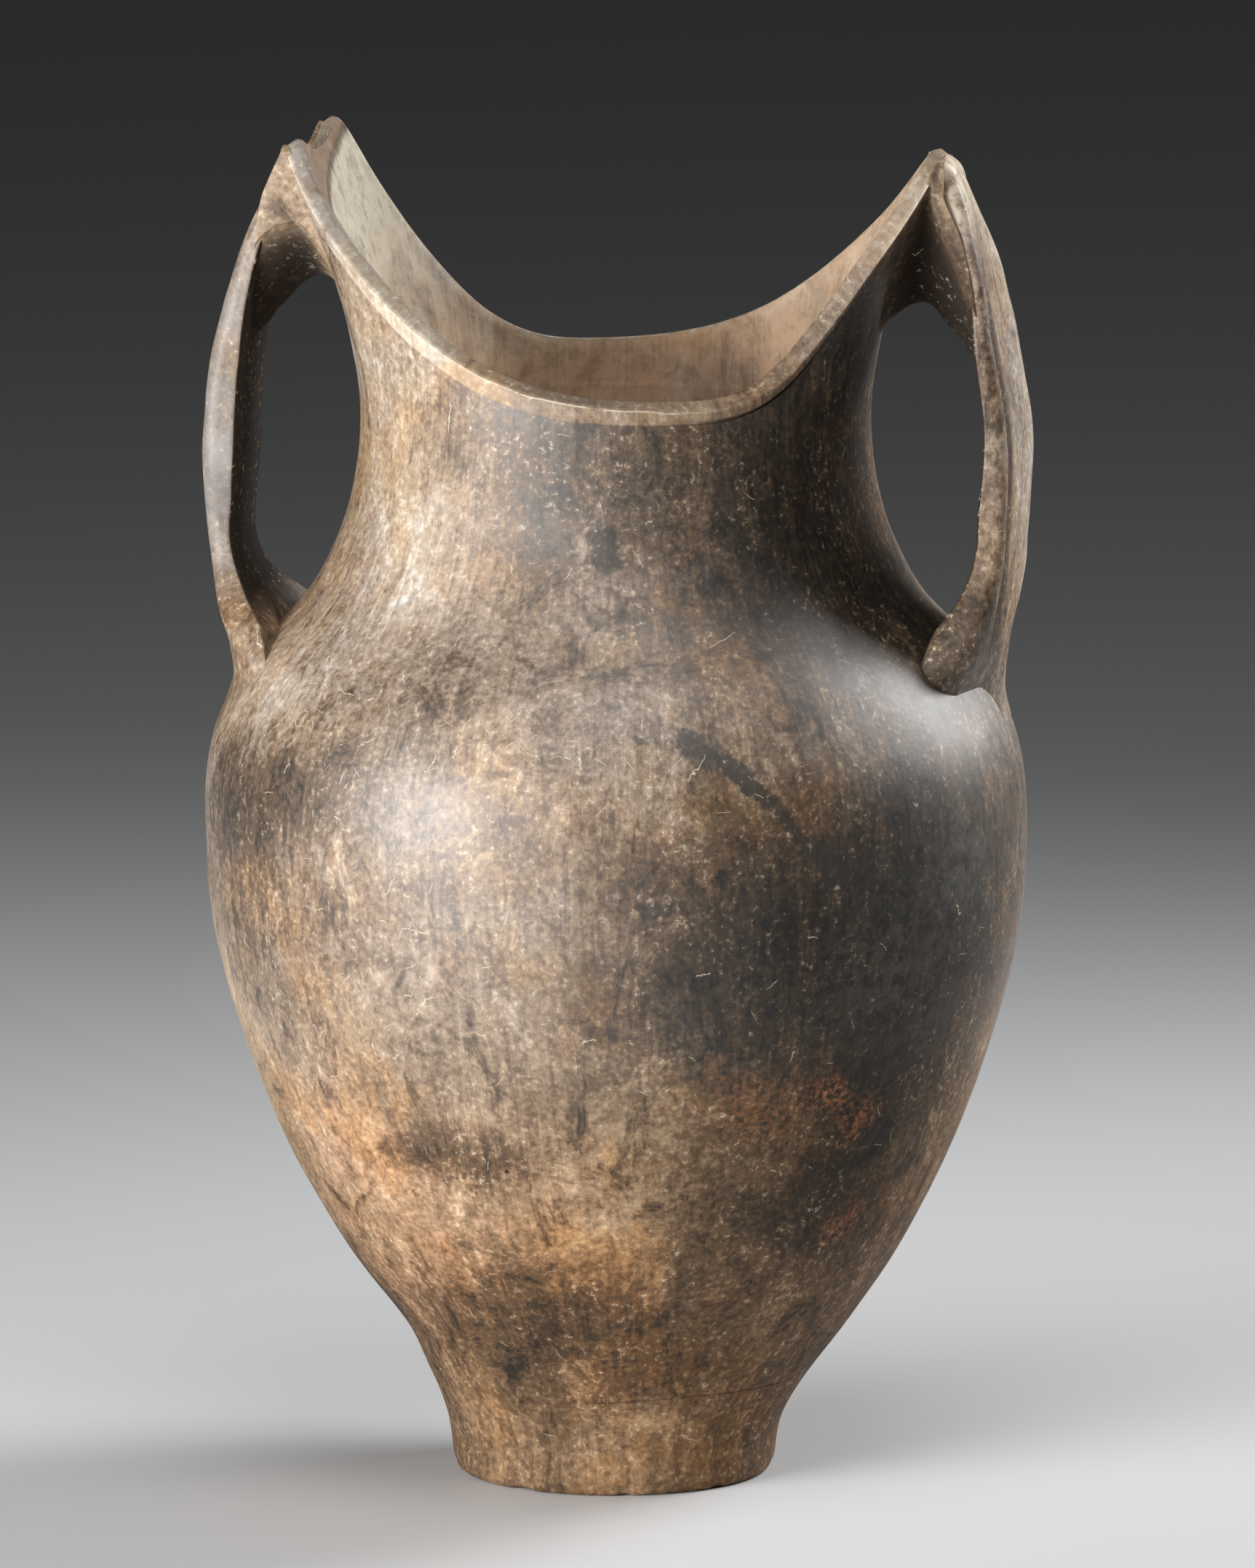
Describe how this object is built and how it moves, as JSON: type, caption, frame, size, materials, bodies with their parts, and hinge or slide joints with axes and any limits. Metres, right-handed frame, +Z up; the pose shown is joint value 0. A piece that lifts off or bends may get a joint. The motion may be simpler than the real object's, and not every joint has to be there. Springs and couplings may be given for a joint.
{
  "type": "pottery vase",
  "caption": "Hand-built earthenware vase with a swelling body, narrow foot, saddle-shaped mouth rising to horned ends, and wide strap handles from the horns to the shoulder.",
  "frame": {"origin": "middle of the flat face under the foot, where the vase rests", "axes": "+Z up along the body's axis, +X towards the right handle, -Y towards the front of the picture"},
  "size_m": [0.2414, 0.2414, 0.3975],
  "materials": {
    "foot_clay": "low-fired earthenware, matt and speckled",
    "body_clay": "burnished earthenware with a satin sheen, fire clouds and scratches",
    "rim_clay": "wiped earthenware, worn and tan at the edge",
    "handle_clay": "smoothed earthenware with pale crust in the hollows",
    "web_clay": "rough pressed earthenware, dark brown"
  },
  "bodies": {
    "root": {"base_disc": "foot_clay", "foot_wall": "foot_clay", "lower_wall": "body_clay", "belly_wall": "body_clay", "shoulder_wall": "body_clay", "neck_wall": "body_clay", "rim_lip": "rim_clay", "left_handle": "handle_clay", "right_handle": "handle_clay", "left_handle_web": "web_clay", "right_handle_web": "web_clay"}
  },
  "joints": []
}
